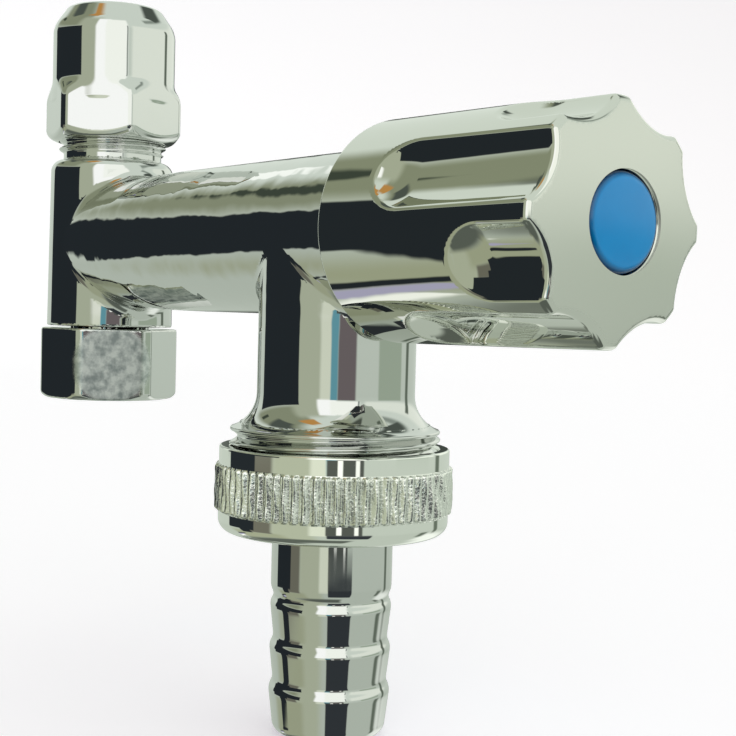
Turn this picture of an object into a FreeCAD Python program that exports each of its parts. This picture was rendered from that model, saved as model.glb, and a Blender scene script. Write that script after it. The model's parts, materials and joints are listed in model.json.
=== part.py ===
import FreeCAD, Part
import math
import os

os.makedirs("parts", exist_ok=True)

# Sizes in millimetres. The origin is the centre of the inlet gasket's lower face,
# where the supply's threaded end seals. +Z is up the tee, +X runs to the handle.

# Pipe threads, at the crests of the male thread
THREAD_38_DIA = 16.66
THREAD_34_DIA = 26.44
THREAD_PLAY = 0.07          # radial room of a female thread over the male crests
THREAD_CHAMFER = 0.8        # lead-in at the end of each male thread
NUT_WALL = 1.17             # hexagon nuts: flat to the male thread's crest

# Tee barrel
BARREL_TOP_DIA = 18.9
BARREL_FOOT_DIA = 19.5
BARREL_UP = 13.0            # run axis to the top shoulder
BARREL_DOWN = 12.9          # run axis to the lower end
BARREL_TOP_ROUND = 1.1
BARREL_FOOT_ROUND = 0.7
TEE_BORE_DIA = 8.4

# Inlet spigot with its captive nut
INLET_SPIGOT_DIA = 12.0
INLET_SPIGOT_LEN = 3.9
INLET_GASKET_DIA = 15.2
INLET_GASKET_THICK = 1.5
INLET_NUT_DEPTH = 5.9       # threaded wall below the sealing face
INLET_NUT_LIP = 1.5
INLET_NUT_CHAMFER = 1.0
INLET_NUT_BEVEL = 50.0      # degrees from the nut's axis
INLET_NUT_TURN = -25.2      # direction of one flat, degrees from +X
CAPTIVE_ROOM = 0.3          # all round between the spigot and the turning nut
SNAP_RING_THICK = 1.0
SNAP_RING_REACH = 0.9       # ring beyond the spigot's side
SNAP_GROOVE_DEPTH = 0.7

# Compression end for a 10 mm pipe
PIPE_SOCKET_DIA = 10.2
PIPE_SOCKET_STOP = 12.0     # run axis to the pipe's stop
SPIGOT_LEN = 10.5
SPIGOT_RELIEF_DEPTH = 0.75
SPIGOT_RELIEF_LEN = 1.2
MOUTH_DEPTH = 2.5
MOUTH_FLARE = 1.5           # radial flare of the mouth that takes the olive
COMP_NUT_LIFT = 2.8         # shoulder to the nut's lower face
COMP_NUT_HEX_LEN = 9.0
COMP_NUT_LEN = 21.1
COMP_NUT_SHANK_STEP = 0.05  # round shank inside the flats
COMP_NUT_CONE_LEN = 3.3
COMP_NUT_TOP_DIA = 14.3
COMP_NUT_FOOT_CHAMFER = 1.5
COMP_NUT_FOOT_BEVEL = 53.5  # degrees from the nut's axis
COMP_NUT_NECK_CHAMFER = 2.2
COMP_NUT_TURN = 17.7
OLIVE_LEN = 5.0
OLIVE_WALL = 1.4
OLIVE_LIFT = 1.5            # olive's lower end above the spigot
OLIVE_SEAT_GAP = 0.05

# Horizontal run
RUN_DIA = 20.2
RUN_WAIST_STEP = 0.2        # run inside the barrel's side where it leaves the tee
RUN_WAIST_LEN = 30.0
RUN_END = 17.0              # outlet axis to the end that takes the headwork
RUN_BORE_DIA = 9.0
BLEND_RADIUS = 1.6          # cast fillet where the pipes meet

# Seat inside the run
SEAT_BACK = 10.0            # outlet axis back to the seat
SEAT_INSET = 0.4            # seat's edge inside the disc's
SEAT_RISE = 1.0
CHAMBER_DIA = 15.0

# Outlet, union nut and hose tail
OUTLET_X = 60.25
NECK_STEP = 0.2             # neck inside the run's side
NECK_DROP = 19.8            # run axis to the start of the flare
FLARE_LEN = 4.4
OUTLET_DROP = 31.5          # run axis to the outlet's end
OUTLET_BORE_DIA = 12.6
OUT_NUT_TOP_DROP = 26.4
OUT_NUT_WALL = 1.2          # plain bands to the male thread's crest
OUT_NUT_LEN = 10.7
OUT_NUT_UPPER_BAND = 2.3
OUT_NUT_LOWER_BAND = 2.75
OUT_NUT_ROUND = 1.6
KNURL_HEIGHT = 0.55
KNURL_RIBS = 75
TAIL_GASKET_THICK = 2.0
TAIL_FLANGE_ROOM = 1.3      # collar to the nut's thread
TAIL_FLANGE_THICK = 1.8
TAIL_LAND_DIA = 15.2
TAIL_WALL = 2.1             # land to the bore
TAIL_LAND_LEN = 6.85
TAIL_BARB_RISE = 0.05       # barbs over the land
TAIL_BARB_DEPTH = 0.5
TAIL_BARB_PITCH = 5.35
TAIL_BARB_STEEP = 1.0
TAIL_BARBS = 3
TAIL_END_LEN = 2.3
TAIL_END_SHARE = 0.85       # share of the end's wall that is rounded over
TAIL_LIP_ROOM = 0.33        # radial room of the nut's lip round the tail's land

# Headwork
BONNET_THREAD_LEN = 10.0
BONNET_NOSE_LEN = 4.0
BONNET_NOSE_ROOM = 0.3      # nose inside the chamber
BONNET_GASKET_THICK = 1.2
BONNET_FLANGE_DIA = 19.2
BONNET_FLANGE_THICK = 1.6
BONNET_FLATS = 15.0
BONNET_HEX_LEN = 5.0
BONNET_NECK_DIA = 12.0
BONNET_NECK_LEN = 6.2
GLAND_DIA = 10.7            # round bore that the carrier's piston slides in
BROACH_SHARE = 0.84         # hexagon bore's flats, which stop the carrier turning, to the gland
BEARING_LEN = 8.0
SLIDE_PLAY = 0.05           # radial play of sliding and turning fits

# Spindle
SPINDLE_DIA = 7.0
SPINDLE_THREAD_DIA = 5.9
SPINDLE_COLLAR_LEN = 2.0
SPINDLE_RING_WIRE = 1.24
SPINDLE_RING_GROOVE = 1.5
SPINDLE_RING_INSET = 1.2
SPINDLE_RING_PITCH = 3.4
SPINDLE_SQUARE_SHARE = 0.7  # square's flats to the shaft
CIRCLIP_THICK = 0.7
CIRCLIP_DIA = 10.0
CIRCLIP_GROOVE_DEPTH = 0.6
CIRCLIP_GAP = 40.0

# Disc carrier
DISC_STROKE = 4.0           # closed to fully open
DISC_ROOM = 1.1             # water's way between the disc and the chamber's wall
DISC_THICK = 3.0
CARRIER_FLANGE_RIM = 0.2    # flange beyond the disc
CARRIER_FLANGE_THICK = 1.6
CARRIER_STEM_DIA = 8.4
PISTON_STAND = 1.5          # piston out of the bonnet's nose when closed
CARRIER_PISTON_LEN = 4.8
CARRIER_RING_WIRE = 1.36
CARRIER_RING_GROOVE = 1.8
CARRIER_NUT_DEPTH = 19.0    # tapped bore for the spindle, from the hexagon's end
DISC_SCREW_DIA = 3.0
DISC_SCREW_GRIP = 3.4
DISC_SCREW_HEAD_DIA = 5.2
DISC_SCREW_HEAD = 1.4

# Handle
HANDLE_OVERLAP = 4.1        # rim over the end of the run
HANDLE_LEN = 32.75
HANDLE_RIM_DIA = 26.2
HANDLE_FACE_DIA = 25.5
HANDLE_RIM_ROUND = 0.5
HANDLE_DOME = 1.25
HANDLE_ROOM = 1.1           # rim round the run, and past the bonnet's flange
HANDLE_WALL = 1.0           # left between the flutes and the inner cavity
HANDLE_FACE_THICK = 3.8
FLUTES = 8
FLUTE_RADIUS = 7.0
FLUTE_DEPTH = 1.8
FLUTE_LONG = 24.0
FLUTE_SHORT = 11.7
FLUTE_TURN = 24.6           # first long flute, degrees from +Z towards +Y
FACE_EDGE_ROUND = 0.4
FACE_BEVEL = 0.15           # flutes' bevel below the tips of the face
HUB_DIA = 12.4
HUB_ROOM = 0.9              # circlip to hub
HUB_WEB = 1.4               # under the screw's head
SQUARE_PLAY = 0.05
HANDLE_SCREW_DIA = 3.0
HANDLE_SCREW_LEN = 9.0
HANDLE_SCREW_HEAD_DIA = 5.5
HANDLE_SCREW_HEAD = 1.8
SCREW_PLAY = 0.05
CAP_DIA = 10.4
CAP_PLAY = 0.08
CAP_RECESS = 3.9
CAP_SINK = 0.1              # edge of the cap below the handle's face
CAP_EDGE = 0.7              # round on the cap's edge
CAP_DOME = 0.35
CAP_SKIRT = 1.2
CAP_SKIRT_WALL = 1.0

# Sizes, heights and stations that follow from those above
NUT_FLATS = THREAD_38_DIA + 2 * NUT_WALL
RUN_LEN = OUTLET_X + RUN_END
RUN_WAIST_DIA = BARREL_TOP_DIA - 2 * RUN_WAIST_STEP
NECK_DIA = RUN_DIA - 2 * NECK_STEP
SEAT_X = OUTLET_X - SEAT_BACK
DISC_DIA = CHAMBER_DIA - 2 * DISC_ROOM
SEAT_DIA = DISC_DIA - 2 * SEAT_INSET
OUT_NUT_DIA = THREAD_34_DIA + 2 * OUT_NUT_WALL
KNURL_DIA = OUT_NUT_DIA + 2 * KNURL_HEIGHT
TAIL_FLANGE_DIA = THREAD_34_DIA - 2 * TAIL_FLANGE_ROOM
TAIL_BARB_DIA = TAIL_LAND_DIA + 2 * TAIL_BARB_RISE
TAIL_BORE_DIA = TAIL_LAND_DIA - 2 * TAIL_WALL
BROACH_FLATS = GLAND_DIA * BROACH_SHARE
SPINDLE_SQUARE = SPINDLE_DIA * SPINDLE_SQUARE_SHARE
FLUTE_FLOOR_DIA = HANDLE_FACE_DIA - 2 * FLUTE_DEPTH
BARREL_FOOT_Z = INLET_GASKET_THICK + INLET_SPIGOT_LEN
RUN_Z = BARREL_FOOT_Z + BARREL_DOWN
SHOULDER_Z = RUN_Z + BARREL_UP
SPIGOT_TOP_Z = SHOULDER_Z + SPIGOT_LEN
OUTLET_END_Z = RUN_Z - OUTLET_DROP
OUT_NUT_TOP_Z = RUN_Z - OUT_NUT_TOP_DROP
OUT_NUT_FOOT_Z = OUT_NUT_TOP_Z - OUT_NUT_LEN
TAIL_TOP_Z = OUTLET_END_Z - TAIL_GASKET_THICK
TAIL_SEAT_Z = TAIL_TOP_Z - TAIL_FLANGE_THICK
BONNET_X = RUN_LEN + BONNET_GASKET_THICK
BONNET_HEX_X = BONNET_X + BONNET_FLANGE_THICK
BONNET_NECK_X = BONNET_HEX_X + BONNET_HEX_LEN
BONNET_END_X = BONNET_NECK_X + BONNET_NECK_LEN
BONNET_NOSE_X = RUN_LEN - BONNET_THREAD_LEN - BONNET_NOSE_LEN
BEARING_X = BONNET_END_X - BEARING_LEN
DISC_BACK_X = SEAT_X + DISC_THICK
PISTON_X = BONNET_NOSE_X - PISTON_STAND
CARRIER_HEX_X = PISTON_X + CARRIER_PISTON_LEN
CARRIER_END_X = BEARING_X - SPINDLE_COLLAR_LEN - DISC_STROKE - CAPTIVE_ROOM
GLAND_END_X = CARRIER_HEX_X + DISC_STROKE + CAPTIVE_ROOM
SPINDLE_TIP_X = CARRIER_END_X - CARRIER_NUT_DEPTH + DISC_STROKE + CAPTIVE_ROOM
PISTON_R = GLAND_DIA / 2 - SLIDE_PLAY
CIRCLIP_X = BONNET_END_X + CAPTIVE_ROOM
SQUARE_X = CIRCLIP_X + CIRCLIP_THICK + HUB_ROOM / 2
HANDLE_X = RUN_LEN - HANDLE_OVERLAP
FACE_X = HANDLE_X + HANDLE_LEN
HUB_X = CIRCLIP_X + CIRCLIP_THICK + HUB_ROOM
CAP_FLOOR_X = FACE_X + HANDLE_DOME - CAP_RECESS
SPINDLE_END_X = CAP_FLOOR_X - HUB_WEB
TAIL_LAND_Z = OUT_NUT_FOOT_Z - CAPTIVE_ROOM / 2

UP = FreeCAD.Vector(0, 0, 1)
ALONG = FreeCAD.Vector(1, 0, 0)


def put(solid, x, z, axis=UP):
    """Set a solid made on its own Z axis at a point of the valve, its axis along the given one."""
    solid.Placement = FreeCAD.Placement(FreeCAD.Vector(x, 0, z), FreeCAD.Rotation(UP, axis))
    return solid


def turned(profile):
    """Turn an outline of (radius, height) points about its own Z axis."""
    points = [FreeCAD.Vector(radius, 0, height) for radius, height in profile]
    outline = Part.makePolygon(points + points[:1])
    return Part.Face(outline).revolve(FreeCAD.Vector(), UP, 360)


def tube(outer_dia, inner_dia, low, high):
    """Plain ring or sleeve between two heights."""
    outer, inner = outer_dia / 2, inner_dia / 2
    return turned([(inner, low), (outer, low), (outer, high), (inner, high)])


def drilled(dia, low, high):
    """Round bar or drill between two heights."""
    return Part.makeCylinder(dia / 2, high - low, FreeCAD.Vector(0, 0, low))


def prism(flats, low, high, sides=6, turn=0.0):
    """Bar with flat sides; one flat faces the turn angle from its own X axis."""
    corner = flats / 2 / math.cos(math.pi / sides)
    points = []
    for step in range(sides + 1):
        angle = math.radians(turn) + math.pi * (2 * step + 1) / sides
        points.append(FreeCAD.Vector(corner * math.cos(angle), corner * math.sin(angle), low))
    return Part.Face(Part.makePolygon(points)).extrude(UP * (high - low))


def rings(solid, radius, height):
    """Round edges of a turned solid at one radius and height."""
    found = []
    for edge in solid.Edges:
        if not edge.Degenerated and isinstance(edge.Curve, Part.Circle):
            if abs(edge.Curve.Radius - radius) < 1e-4 and abs(edge.Curve.Center.z - height) < 1e-4:
                found.append(edge)
    return found


def o_ring(inner_radius, wire, middle):
    """Round rubber ring with its inside at a groove's floor."""
    return Part.makeTorus(inner_radius + wire / 2, wire / 2, FreeCAD.Vector(0, 0, middle))


def split_ring(outer_dia, inner_dia, low, high, gap):
    """Spring ring with a gap, in degrees, centred on its own X axis."""
    ring = tube(outer_dia, inner_dia, low, high)
    reach = outer_dia
    half = math.radians(gap / 2)
    corner = FreeCAD.Vector(0, 0, low)
    one = FreeCAD.Vector(reach * math.cos(half), reach * math.sin(half), low)
    two = FreeCAD.Vector(reach * math.cos(half), -reach * math.sin(half), low)
    wedge = Part.Face(Part.makePolygon([corner, one, two, corner])).extrude(UP * (high - low))
    return ring.cut(wedge)


def barrel():
    """Tee barrel with the inlet spigot below and the compression spigot above."""
    top, foot = BARREL_TOP_DIA / 2, BARREL_FOOT_DIA / 2
    spigot = INLET_SPIGOT_DIA / 2
    thread = THREAD_38_DIA / 2
    relief = thread - SPIGOT_RELIEF_DEPTH
    neck_z = SHOULDER_Z + SPIGOT_RELIEF_LEN
    solid = turned([
        (0, INLET_GASKET_THICK), (spigot, INLET_GASKET_THICK), (spigot, BARREL_FOOT_Z),
        (foot, BARREL_FOOT_Z), (top, SHOULDER_Z), (relief, SHOULDER_Z),
        (relief, neck_z - SPIGOT_RELIEF_DEPTH / 2), (thread, neck_z),
        (thread, SPIGOT_TOP_Z - THREAD_CHAMFER), (thread - THREAD_CHAMFER, SPIGOT_TOP_Z),
        (0, SPIGOT_TOP_Z),
    ])
    solid = solid.makeFillet(BARREL_TOP_ROUND, rings(solid, top, SHOULDER_Z))
    return solid.makeFillet(BARREL_FOOT_ROUND, rings(solid, foot, BARREL_FOOT_Z))


def run():
    """Horizontal pipe, drawn in a little where it leaves the tee."""
    full, waist = RUN_DIA / 2, RUN_WAIST_DIA / 2
    middle = full - (full - waist) / 4
    start = FreeCAD.Vector(waist, 0, 0)
    half = FreeCAD.Vector(middle, 0, RUN_WAIST_LEN / 2)
    level = FreeCAD.Vector(full, 0, RUN_WAIST_LEN)
    end = FreeCAD.Vector(full, 0, RUN_LEN)
    far = FreeCAD.Vector(0, 0, RUN_LEN)
    sweep = Part.Arc(start, half, level).toShape()
    sides = Part.makePolygon([level, end, far, FreeCAD.Vector(), start])
    outline = Part.Wire([sweep] + sides.Edges)
    return put(Part.Face(outline).revolve(FreeCAD.Vector(), UP, 360), 0, RUN_Z, ALONG)


def outlet():
    """Neck under the run, flared out to the threaded end."""
    neck, thread = NECK_DIA / 2, THREAD_34_DIA / 2
    low, foot, end = -NECK_DROP, -NECK_DROP - FLARE_LEN, -OUTLET_DROP
    top = FreeCAD.Vector(neck, 0, 0)
    start = FreeCAD.Vector(neck, 0, low)
    step = thread - neck
    sweep = (step ** 2 + FLARE_LEN ** 2) / (2 * step)
    half = math.asin(FLARE_LEN / sweep) / 2
    bend = FreeCAD.Vector(neck + sweep * (1 - math.cos(half)), 0, low - sweep * math.sin(half))
    crest = FreeCAD.Vector(thread, 0, foot)
    side = FreeCAD.Vector(thread, 0, end + THREAD_CHAMFER)
    tip = FreeCAD.Vector(thread - THREAD_CHAMFER, 0, end)
    centre = FreeCAD.Vector(0, 0, end)
    flare = Part.Arc(start, bend, crest).toShape()
    wall = Part.makePolygon([top, start])
    rest = Part.makePolygon([crest, side, tip, centre, FreeCAD.Vector(), top])
    outline = Part.Wire(wall.Edges + [flare] + rest.Edges)
    return put(Part.Face(outline).revolve(FreeCAD.Vector(), UP, 360), OUTLET_X, RUN_Z)


def blended(solid):
    """Round the inner corners where the three pipes of the casting meet."""
    corners = []
    for edge in solid.Edges:
        if not isinstance(edge.Curve, (Part.Circle, Part.Line)):
            if edge.BoundBox.DiagonalLength > BLEND_RADIUS:
                corners.append(edge)
    return solid.makeFillet(BLEND_RADIUS, corners)


def valve_body():
    """One casting: tee, run with its seat, and outlet."""
    body = blended(barrel().fuse([run(), outlet()]).removeSplitter())
    mouth = PIPE_SOCKET_DIA / 2
    groove_top = BARREL_FOOT_Z - CAPTIVE_ROOM - INLET_NUT_LIP - CAPTIVE_ROOM + SLIDE_PLAY
    groove_low = groove_top - SNAP_RING_THICK - 2 * SLIDE_PLAY
    groove_dia = INLET_SPIGOT_DIA - 2 * SNAP_GROOVE_DEPTH
    bonnet_thread = THREAD_38_DIA + 2 * THREAD_PLAY
    flare = turned([
        (0, SPIGOT_TOP_Z - MOUTH_DEPTH), (mouth, SPIGOT_TOP_Z - MOUTH_DEPTH),
        (mouth + MOUTH_FLARE, SPIGOT_TOP_Z), (0, SPIGOT_TOP_Z),
    ])
    cuts = [
        drilled(TEE_BORE_DIA, INLET_GASKET_THICK, RUN_Z + PIPE_SOCKET_STOP),
        drilled(PIPE_SOCKET_DIA, RUN_Z + PIPE_SOCKET_STOP, SPIGOT_TOP_Z),
        flare,
        tube(INLET_SPIGOT_DIA + 2 * SNAP_GROOVE_DEPTH, groove_dia, groove_low, groove_top),
        put(drilled(RUN_BORE_DIA, 0, SEAT_X), 0, RUN_Z, ALONG),
        put(drilled(CHAMBER_DIA, SEAT_X, RUN_LEN), 0, RUN_Z, ALONG),
        put(tube(CHAMBER_DIA, SEAT_DIA, SEAT_X - SEAT_RISE, SEAT_X), 0, RUN_Z, ALONG),
        put(drilled(bonnet_thread, RUN_LEN - BONNET_THREAD_LEN, RUN_LEN), 0, RUN_Z, ALONG),
        put(drilled(OUTLET_BORE_DIA, -OUTLET_DROP, 0), OUTLET_X, RUN_Z),
    ]
    for cut in cuts:
        body = body.cut(cut)
    return body


def inlet_union_nut():
    """Hexagon nut that turns freely on the inlet spigot."""
    foot, top = -INLET_NUT_DEPTH, BARREL_FOOT_Z - CAPTIVE_ROOM
    corner = NUT_FLATS / math.sqrt(3)
    bevel = INLET_NUT_CHAMFER * math.tan(math.radians(INLET_NUT_BEVEL))
    nut = prism(NUT_FLATS, foot, top, turn=INLET_NUT_TURN)
    blank = turned([
        (0, foot), (corner - bevel, foot), (corner, foot + INLET_NUT_CHAMFER),
        (corner, top - INLET_NUT_CHAMFER / 3), (corner - bevel / 3, top), (0, top),
    ])
    thread = THREAD_38_DIA + 2 * THREAD_PLAY
    hollow = [
        drilled(thread, foot, 0),
        drilled(INLET_GASKET_DIA + 2 * CAPTIVE_ROOM, 0, top - INLET_NUT_LIP),
        drilled(INLET_SPIGOT_DIA + 2 * CAPTIVE_ROOM, top - INLET_NUT_LIP, top),
    ]
    return nut.common(blank).cut(hollow[0].fuse(hollow[1:]))


def inlet_snap_ring():
    """Flat spring ring in the spigot's groove, under the nut's lip."""
    top = BARREL_FOOT_Z - CAPTIVE_ROOM - INLET_NUT_LIP - CAPTIVE_ROOM
    inner = INLET_SPIGOT_DIA - 2 * SNAP_GROOVE_DEPTH + 2 * SLIDE_PLAY
    outer = INLET_SPIGOT_DIA + 2 * SNAP_RING_REACH
    return split_ring(outer, inner, top - SNAP_RING_THICK, top, CIRCLIP_GAP)


def inlet_gasket():
    """Flat ring that seals on the end of the spigot."""
    return tube(INLET_GASKET_DIA, TEE_BORE_DIA + 2 * SLIDE_PLAY, 0, INLET_GASKET_THICK)


def olive_low():
    """Height of the olive's lower end."""
    return SPIGOT_TOP_Z + OLIVE_LIFT


def compression_nut():
    """Long nut: hexagon below, round shank and cone above, with the olive's seat inside."""
    foot = SHOULDER_Z + COMP_NUT_LIFT
    hex_top, top = foot + COMP_NUT_HEX_LEN, foot + COMP_NUT_LEN
    corner = NUT_FLATS / math.sqrt(3)
    shank, crown = NUT_FLATS / 2 - COMP_NUT_SHANK_STEP, COMP_NUT_TOP_DIA / 2
    foot_r = corner - COMP_NUT_FOOT_CHAMFER * math.tan(math.radians(COMP_NUT_FOOT_BEVEL))
    hexagon = prism(NUT_FLATS, foot, hex_top, turn=COMP_NUT_TURN)
    blank = turned([
        (0, foot), (foot_r, foot), (corner, foot + COMP_NUT_FOOT_CHAMFER),
        (corner, hex_top - COMP_NUT_NECK_CHAMFER), (shank, hex_top), (0, hex_top),
    ])
    upper = turned([
        (0, hex_top - COMP_NUT_NECK_CHAMFER), (shank, hex_top - COMP_NUT_NECK_CHAMFER),
        (shank, top - COMP_NUT_CONE_LEN), (crown, top), (0, top),
    ])
    hole = PIPE_SOCKET_DIA / 2 + OLIVE_SEAT_GAP
    wide = PIPE_SOCKET_DIA / 2 + OLIVE_WALL + OLIVE_SEAT_GAP
    cone_low = olive_low() + OLIVE_LEN * 0.6
    cone_high = cone_low + (wide - hole) / OLIVE_WALL * OLIVE_LEN * 0.6
    thread = THREAD_38_DIA / 2 + THREAD_PLAY
    thread_top = cone_low - OLIVE_LEN * 0.1
    hollow = turned([
        (0, foot), (thread, foot), (thread, thread_top), (wide, thread_top), (wide, cone_low),
        (hole, cone_high), (hole, top), (0, top),
    ])
    return hexagon.common(blank).fuse(upper).removeSplitter().cut(hollow)


def compression_olive():
    """Soft double cone that bites on the pipe, lying in the nut's seat."""
    low = olive_low()
    inner, outer = PIPE_SOCKET_DIA / 2, PIPE_SOCKET_DIA / 2 + OLIVE_WALL
    tip = outer - OLIVE_WALL * 2 / 3
    return turned([
        (inner, low), (tip, low), (outer, low + OLIVE_LEN * 0.3), (outer, low + OLIVE_LEN * 0.6),
        (tip, low + OLIVE_LEN), (inner, low + OLIVE_LEN),
    ])


def knurl(low, high):
    """Band of straight round-backed ribs."""
    crest, root = KNURL_DIA / 2, OUT_NUT_DIA / 2
    shoulder = crest - (crest - root) * 0.2
    points = []
    for rib in range(KNURL_RIBS):
        for share, radius in ((0, root), (0.2, shoulder), (0.5, crest), (0.8, shoulder)):
            angle = 2 * math.pi * (rib + share) / KNURL_RIBS
            points.append(FreeCAD.Vector(radius * math.cos(angle), radius * math.sin(angle), low))
    return Part.Face(Part.makePolygon(points + points[:1])).extrude(UP * (high - low))


def outlet_union_nut():
    """Round nut with a knurled band, drawing the tail up against the outlet."""
    top, foot = OUT_NUT_TOP_Z, OUT_NUT_FOOT_Z
    r = OUT_NUT_DIA / 2
    blank = turned([(0, foot), (r, foot), (r, top), (0, top)])
    blank = blank.makeFillet(OUT_NUT_ROUND, rings(blank, r, foot))
    ribs_high, ribs_low = top - OUT_NUT_UPPER_BAND, foot + OUT_NUT_LOWER_BAND
    bevel = KNURL_DIA / 2 - r
    guard = turned([
        (0, ribs_low), (r, ribs_low), (r + bevel, ribs_low + bevel),
        (r + bevel, ribs_high - bevel / 2), (r + bevel / 2, ribs_high), (0, ribs_high),
    ])
    nut = blank.fuse(knurl(ribs_low, ribs_high).common(guard))
    nut = nut.cut(drilled(THREAD_34_DIA + 2 * THREAD_PLAY, TAIL_SEAT_Z, top))
    return put(nut.cut(drilled(TAIL_LAND_DIA + 2 * TAIL_LIP_ROOM, foot, TAIL_SEAT_Z)), OUTLET_X, 0)


def hose_tail():
    """Collared tail with barbs for the hose."""
    flange, bore = TAIL_FLANGE_DIA / 2, TAIL_BORE_DIA / 2
    land, barb = TAIL_LAND_DIA / 2, TAIL_BARB_DIA / 2
    neck, root = land - CAPTIVE_ROOM, barb - TAIL_BARB_DEPTH
    outline = [
        (bore, TAIL_TOP_Z), (flange, TAIL_TOP_Z), (flange, TAIL_SEAT_Z), (neck, TAIL_SEAT_Z),
        (neck, TAIL_LAND_Z), (land, TAIL_LAND_Z), (land, TAIL_LAND_Z - TAIL_LAND_LEN),
    ]
    z = TAIL_LAND_Z - TAIL_LAND_LEN
    for step in range(TAIL_BARBS):
        outline.append((root, z - TAIL_BARB_STEEP))
        outline.append((barb, z - 2 * TAIL_BARB_STEEP))
        z = z - TAIL_BARB_PITCH
    end = z - TAIL_END_LEN
    outline += [(root, end), (bore, end)]
    tail = turned(outline)
    tail = tail.makeFillet(TAIL_END_SHARE * (root - bore), rings(tail, root, end))
    return put(tail, OUTLET_X, 0)


def hose_tail_gasket():
    """Flat ring between the outlet's end and the tail's collar."""
    return put(tube(TAIL_FLANGE_DIA, OUTLET_BORE_DIA, TAIL_TOP_Z, OUTLET_END_Z), OUTLET_X, 0)


def headwork_bonnet():
    """Screwed insert that guides the carrier and holds the spindle."""
    thread, nose = THREAD_38_DIA / 2, CHAMBER_DIA / 2 - BONNET_NOSE_ROOM
    start = BONNET_NOSE_X + BONNET_NOSE_LEN
    shell = turned([
        (0, BONNET_NOSE_X), (nose, BONNET_NOSE_X), (nose, start), (thread - THREAD_CHAMFER, start),
        (thread, start + THREAD_CHAMFER), (thread, BONNET_X), (BONNET_FLANGE_DIA / 2, BONNET_X),
        (BONNET_FLANGE_DIA / 2, BONNET_HEX_X), (BONNET_NECK_DIA / 2, BONNET_HEX_X),
        (BONNET_NECK_DIA / 2, BONNET_END_X), (0, BONNET_END_X),
    ])
    shell = shell.fuse(prism(BONNET_FLATS, BONNET_HEX_X, BONNET_NECK_X)).removeSplitter()
    shell = shell.cut(drilled(GLAND_DIA, BONNET_NOSE_X, GLAND_END_X))
    shell = shell.cut(prism(BROACH_FLATS, GLAND_END_X, BEARING_X))
    shell = shell.cut(drilled(SPINDLE_DIA + 2 * SLIDE_PLAY, BEARING_X, BONNET_END_X))
    return put(shell, 0, RUN_Z, ALONG)


def bonnet_gasket():
    """Flat ring between the run's end and the bonnet's flange."""
    inner = THREAD_38_DIA + 2 * THREAD_PLAY
    return put(tube(BONNET_FLANGE_DIA, inner, RUN_LEN, BONNET_X), 0, RUN_Z, ALONG)


def spindle_ring_x(number):
    """Middle of an O-ring groove in the bearing, counted from the inside."""
    return BEARING_X + SPINDLE_RING_INSET + SPINDLE_RING_GROOVE / 2 + number * SPINDLE_RING_PITCH


def spindle_groove_dia():
    """Floor of the spindle's O-ring grooves."""
    return SPINDLE_DIA - 2 * SPINDLE_RING_WIRE + SLIDE_PLAY


def spindle():
    """Non-rising spindle: thread inside, collar against the bonnet, square end for the handle."""
    shaft, collar = SPINDLE_DIA / 2, BROACH_FLATS / 2 - CAPTIVE_ROOM
    thread = SPINDLE_THREAD_DIA / 2
    collar_x = BEARING_X - SPINDLE_COLLAR_LEN
    solid = turned([
        (0, SPINDLE_TIP_X), (thread - 0.4, SPINDLE_TIP_X), (thread, SPINDLE_TIP_X + 0.4),
        (thread, collar_x), (collar, collar_x), (collar, BEARING_X), (shaft, BEARING_X),
        (shaft, SQUARE_X), (0, SQUARE_X),
    ])
    for number in range(2):
        middle = spindle_ring_x(number)
        low, high = middle - SPINDLE_RING_GROOVE / 2, middle + SPINDLE_RING_GROOVE / 2
        solid = solid.cut(tube(SPINDLE_DIA + 1, spindle_groove_dia(), low, high))
    groove = SPINDLE_DIA - 2 * CIRCLIP_GROOVE_DEPTH
    clip = CIRCLIP_X + CIRCLIP_THICK
    solid = solid.cut(tube(SPINDLE_DIA + 1, groove, CIRCLIP_X - SLIDE_PLAY, clip + SLIDE_PLAY))
    solid = solid.fuse(prism(SPINDLE_SQUARE, SQUARE_X, SPINDLE_END_X, sides=4)).removeSplitter()
    tapped = HANDLE_SCREW_DIA + 2 * SCREW_PLAY
    depth = CAP_FLOOR_X - HANDLE_SCREW_LEN - 2 * SCREW_PLAY
    return put(solid.cut(drilled(tapped, depth, SPINDLE_END_X)), 0, RUN_Z, ALONG)


def spindle_o_ring(number):
    """One of the two rings that seal the spindle."""
    ring = o_ring(spindle_groove_dia() / 2, SPINDLE_RING_WIRE, spindle_ring_x(number))
    return put(ring, 0, RUN_Z, ALONG)


def spindle_circlip():
    """Spring ring that keeps the spindle from being pushed in."""
    inner = SPINDLE_DIA - 2 * CIRCLIP_GROOVE_DEPTH + 2 * SLIDE_PLAY
    clip = split_ring(CIRCLIP_DIA, inner, CIRCLIP_X, CIRCLIP_X + CIRCLIP_THICK, CIRCLIP_GAP)
    return put(clip, 0, RUN_Z, ALONG)


def carrier_ring_x():
    """Middle of the carrier's O-ring groove."""
    return PISTON_X + CARRIER_PISTON_LEN / 2 + CARRIER_RING_GROOVE / 6


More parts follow.
